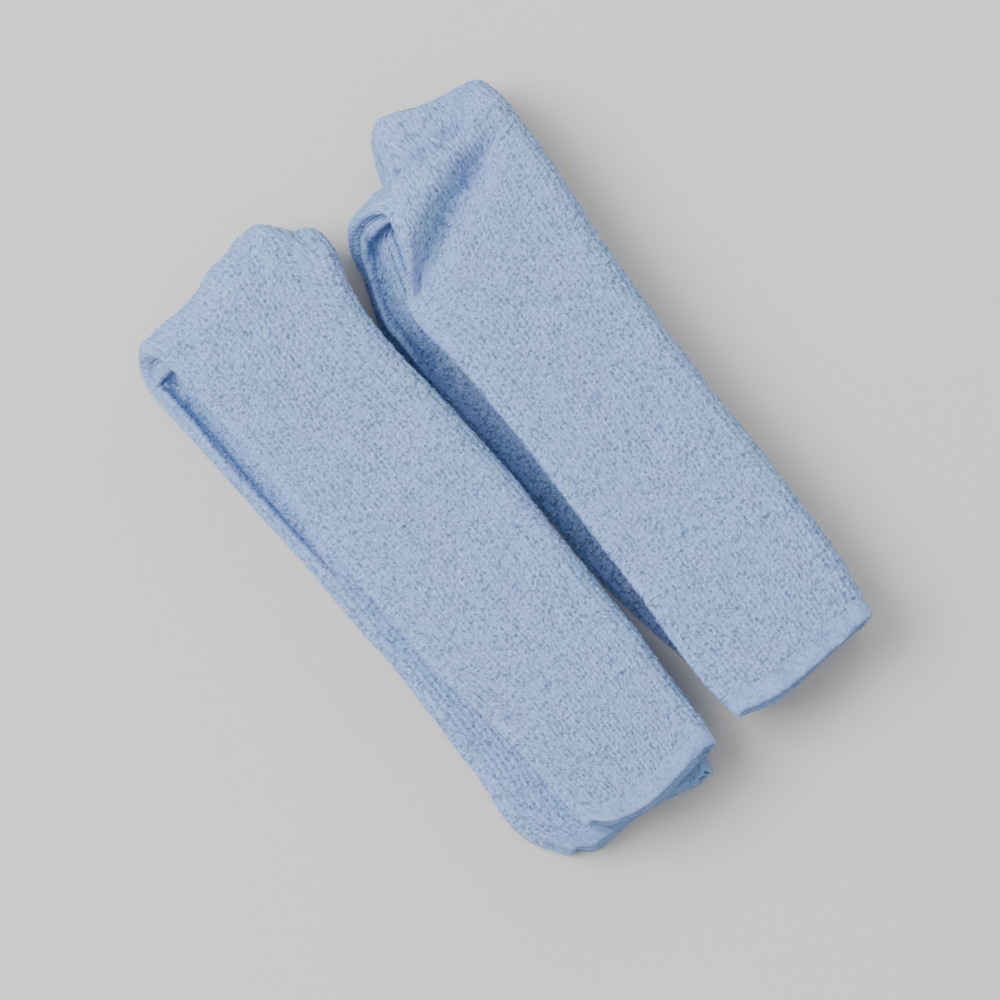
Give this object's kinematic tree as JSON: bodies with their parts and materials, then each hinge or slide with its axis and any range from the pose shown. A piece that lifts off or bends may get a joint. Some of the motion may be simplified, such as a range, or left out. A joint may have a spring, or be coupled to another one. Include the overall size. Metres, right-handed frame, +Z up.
{
  "type": "folded polishing cloth pair",
  "caption": "Pair of square terry microfibre polishing cloths, each folded lengthwise into a strip and once across, lying side by side.",
  "frame": {"origin": "on the table, under the middle of the pair's bounding box", "axes": "+Y along the folded strips, from the hems to the folded ends; +X from cloth A to cloth B; +Z up off the table"},
  "size_m": [0.1352, 0.2078, 0.0264],
  "materials": {
    "terry": "looped powder-blue microfibre pile, soft and matte",
    "hem": "flat turned microfibre hem, matte",
    "stitching": "pale blue sewing thread"
  },
  "bodies": {
    "cloth_a_lower": {"cloth_a_lower_panel": "terry", "cloth_a_lower_end_hem": "hem", "cloth_a_lower_end_stitch": "stitching", "cloth_a_lower_side_hem": "hem"},
    "cloth_a_upper": {"cloth_a_upper_panel": "terry", "cloth_a_upper_end_hem": "hem", "cloth_a_upper_end_stitch": "stitching", "cloth_a_upper_side_hem": "hem"},
    "cloth_b_lower": {"cloth_b_lower_panel": "terry", "cloth_b_lower_end_hem": "hem", "cloth_b_lower_end_stitch": "stitching", "cloth_b_lower_side_hem": "hem"},
    "cloth_b_upper": {"cloth_b_upper_panel": "terry", "cloth_b_upper_end_hem": "hem", "cloth_b_upper_end_stitch": "stitching", "cloth_b_upper_side_hem": "hem"}
  },
  "joints": [
    {"name": "cloth_a_fold", "type": "hinge", "parent": "cloth_a_lower", "child": "cloth_a_upper", "pos_m": [0, 0.1043, 0.0132], "axis": [-1, 0, 0], "range_deg": [0, 179.5]},
    {"name": "cloth_b_lift", "type": "slide", "parent": "cloth_a_lower", "child": "cloth_b_lower", "axis": [0, 0, 1], "range_m": [0, 0.15]},
    {"name": "cloth_b_fold", "type": "hinge", "parent": "cloth_b_lower", "child": "cloth_b_upper", "pos_m": [0, 0.1043, 0.0132], "axis": [-1, 0, 0], "range_deg": [0, 179.5]}
  ]
}
